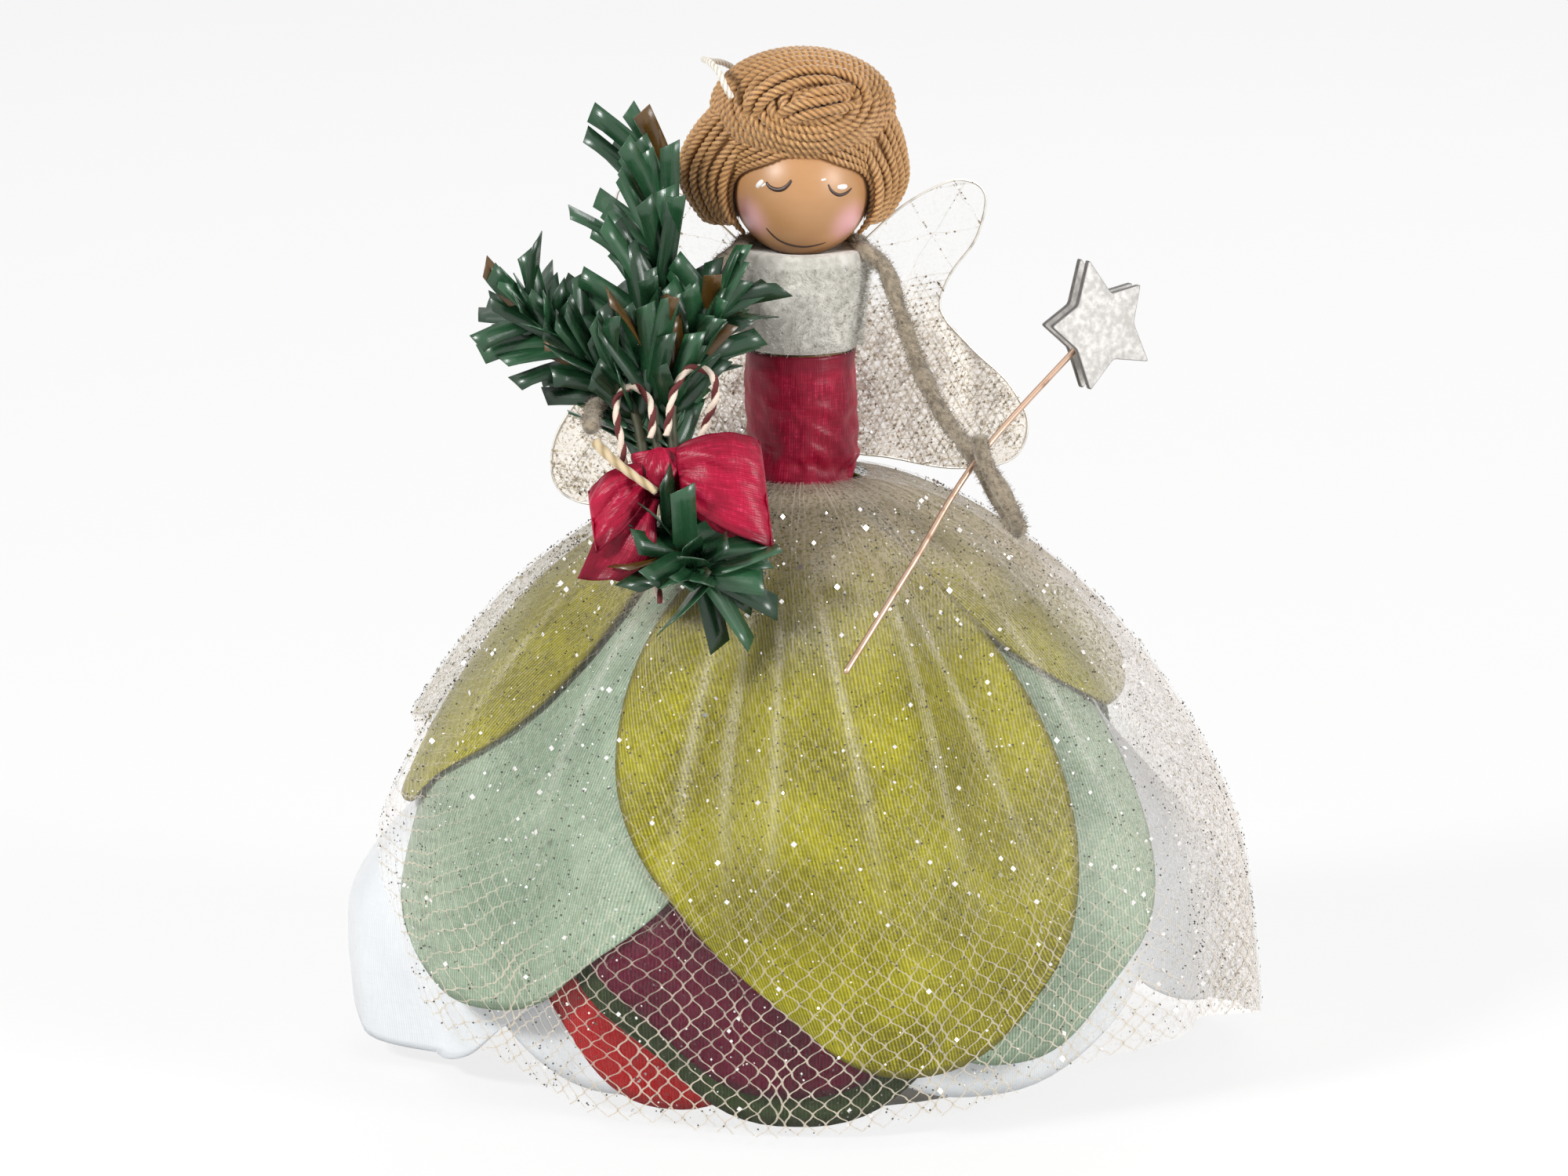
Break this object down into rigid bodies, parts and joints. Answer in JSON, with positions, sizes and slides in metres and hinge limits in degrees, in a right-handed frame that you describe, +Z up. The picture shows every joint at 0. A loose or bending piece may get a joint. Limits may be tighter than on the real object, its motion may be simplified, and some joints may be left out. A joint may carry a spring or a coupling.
{
  "type": "fairy ornament",
  "caption": "Standing fairy doll ornament: bead head with floss hair, layered petal skirt under net on a cone, net wings, posable arms with a star wand and a pine posy.",
  "frame": {"origin": "middle of the skirt's footprint, on the surface that the ornament stands on", "axes": "+Z up through the head, -Y the way the face looks, +X towards the wand arm"},
  "size_m": [0.1323, 0.1214, 0.1482],
  "materials": {
    "card": "plain white card, matt",
    "peg_wood": "bare turned beech",
    "bead_wood": "satin skin-tone paint on a wooden bead",
    "steel_wire": "bare wire",
    "grey_felt": "wool felt",
    "crimson_satin": "satin ribbon",
    "chenille": "chenille stem, matt pile on wire",
    "glitter_net": "glitter net",
    "chartreuse_silk": "satin-woven petal cloth",
    "mint_silk": "satin-woven petal cloth",
    "crimson_silk": "satin-woven petal cloth",
    "green_silk": "satin-woven petal cloth",
    "red_silk": "satin-woven petal cloth",
    "white_silk": "satin-woven petal cloth",
    "floss": "mercerised cotton floss",
    "white_cord": "twisted cotton cord",
    "copper_wire": "bare copper wire",
    "silver_felt": "stiff felt with silver glitter",
    "cream_cord": "waxed paper cord",
    "pine_strip": "cut PVC strip, low gloss",
    "twine": "two-colour twisted twine",
    "wing_wire": "fine silvered wire"
  },
  "bodies": {
    "body": {"skirt_cone": "card", "torso_peg": "peg_wood", "felt_bodice": "grey_felt", "neck_wire": "steel_wire", "waist_sash": "crimson_satin", "shoulder_stem": "chenille", "net_overskirt": "glitter_net", "chartreuse_petal_front": "chartreuse_silk", "chartreuse_petal_left": "chartreuse_silk", "chartreuse_petal_right": "chartreuse_silk", "chartreuse_petal_back": "chartreuse_silk", "mint_petal_left": "mint_silk", "mint_petal_right": "mint_silk", "mint_petal_back_left": "mint_silk", "mint_petal_back_right": "mint_silk", "crimson_petal_front": "crimson_silk", "crimson_petal_back": "crimson_silk", "green_petal_front": "green_silk", "green_petal_back": "green_silk", "red_petal_front": "red_silk", "red_petal_back": "red_silk", "white_petal_left": "white_silk", "white_petal_front_left": "white_silk", "white_petal_front_right": "white_silk", "white_petal_right": "white_silk", "white_petal_back_right": "white_silk", "white_petal_back_left": "white_silk"},
    "head": {"head_bead": "bead_wood", "hair_left": "floss", "hair_right": "floss", "hair_back": "floss", "hair_fringe": "floss", "hair_top_knot": "floss", "hanger_loop": "white_cord"},
    "wand_arm": {"wand_arm": "chenille"},
    "wand": {"wand_wire": "copper_wire", "wand_star_front": "silver_felt", "wand_star_back": "silver_felt"},
    "posy_arm": {"posy_arm": "chenille", "posy_hand": "cream_cord", "pine_sprig_tall": "pine_strip", "pine_sprig_left": "pine_strip", "pine_sprig_right": "pine_strip", "pine_sprig_foot": "pine_strip", "bow_band": "crimson_satin", "bow_knot": "crimson_satin", "bow_loop_right": "crimson_satin", "bow_loop_left": "crimson_satin", "bow_tail": "crimson_satin", "twine_left": "twine", "twine_right": "twine"},
    "wing_left": {"wing_wire_left": "wing_wire", "wing_net_left": "glitter_net"},
    "wing_right": {"wing_wire_right": "wing_wire", "wing_net_right": "glitter_net"}
  },
  "joints": [
    {"name": "head_turn", "type": "hinge", "parent": "body", "child": "head", "pos_m": [0, 0, 0.1181], "axis": [0, 0, 1], "range_deg": [-30, 30]},
    {"name": "wand_arm_raise", "type": "hinge", "parent": "body", "child": "wand_arm", "pos_m": [0.0085, -0.0018, 0.11935], "axis": [0, -1, 0], "range_deg": [0, 50]},
    {"name": "wand_turn", "type": "hinge", "parent": "wand_arm", "child": "wand", "pos_m": [0.0252, -0.0228, 0.09255], "axis": [0.4685, 0.6149, 0.6344], "range_deg": [-25, 25]},
    {"name": "posy_arm_swing", "type": "hinge", "parent": "body", "child": "posy_arm", "pos_m": [-0.0085, -0.0018, 0.11935], "axis": [0, 0, -1], "range_deg": [0, 20]},
    {"name": "wing_left_fold", "type": "hinge", "parent": "body", "child": "wing_left", "pos_m": [-0.0018, 0.01003, 0.1], "axis": [0, 0, -1], "range_deg": [-8, 25]},
    {"name": "wing_right_fold", "type": "hinge", "parent": "body", "child": "wing_right", "pos_m": [0.0018, 0.01003, 0.1], "axis": [0, 0, 1], "range_deg": [-8, 25]}
  ]
}
